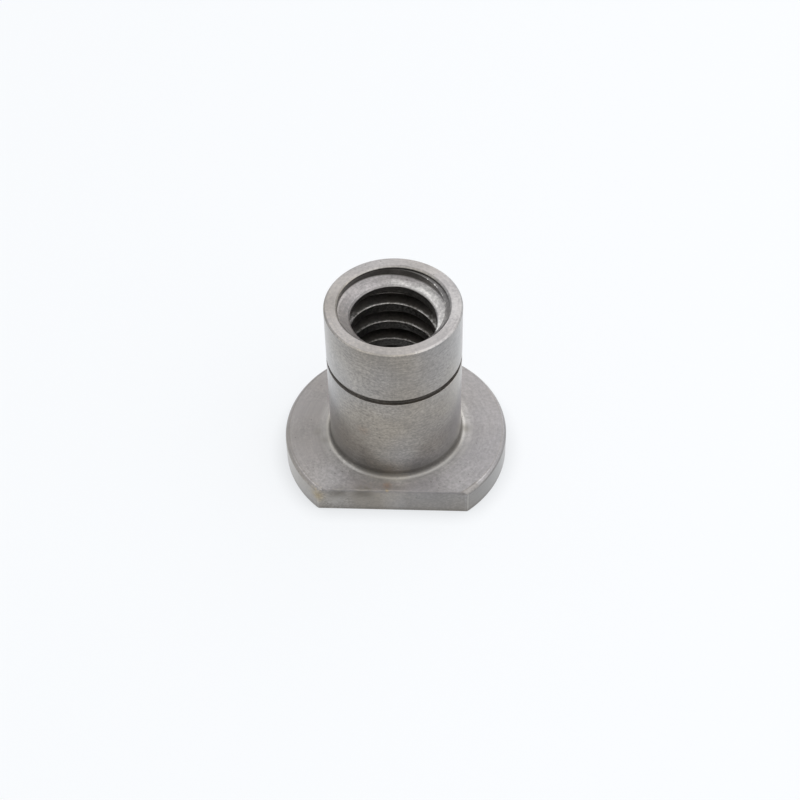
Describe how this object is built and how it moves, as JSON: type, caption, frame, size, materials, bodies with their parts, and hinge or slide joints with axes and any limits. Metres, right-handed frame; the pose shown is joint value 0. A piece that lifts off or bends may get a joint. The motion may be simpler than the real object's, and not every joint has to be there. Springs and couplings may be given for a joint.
{
  "type": "lifting nut",
  "caption": "Turned steel nut with a flange, a keying flat, a plain barrel with a ring groove, and a coarse right-hand trapezoidal thread through it for a lifting screw.",
  "frame": {"origin": "where the thread's axis meets the underside of the flange", "axes": "+Z along the thread's axis from the flange to the top of the barrel, -Y square to the flat on the flange"},
  "size_m": [0.046, 0.0402, 0.0417],
  "materials": {
    "steel": "turned, bare, lightly oiled, with faint rust in the corners"
  },
  "bodies": {
    "root": {"lifting_nut": "steel"}
  },
  "joints": []
}
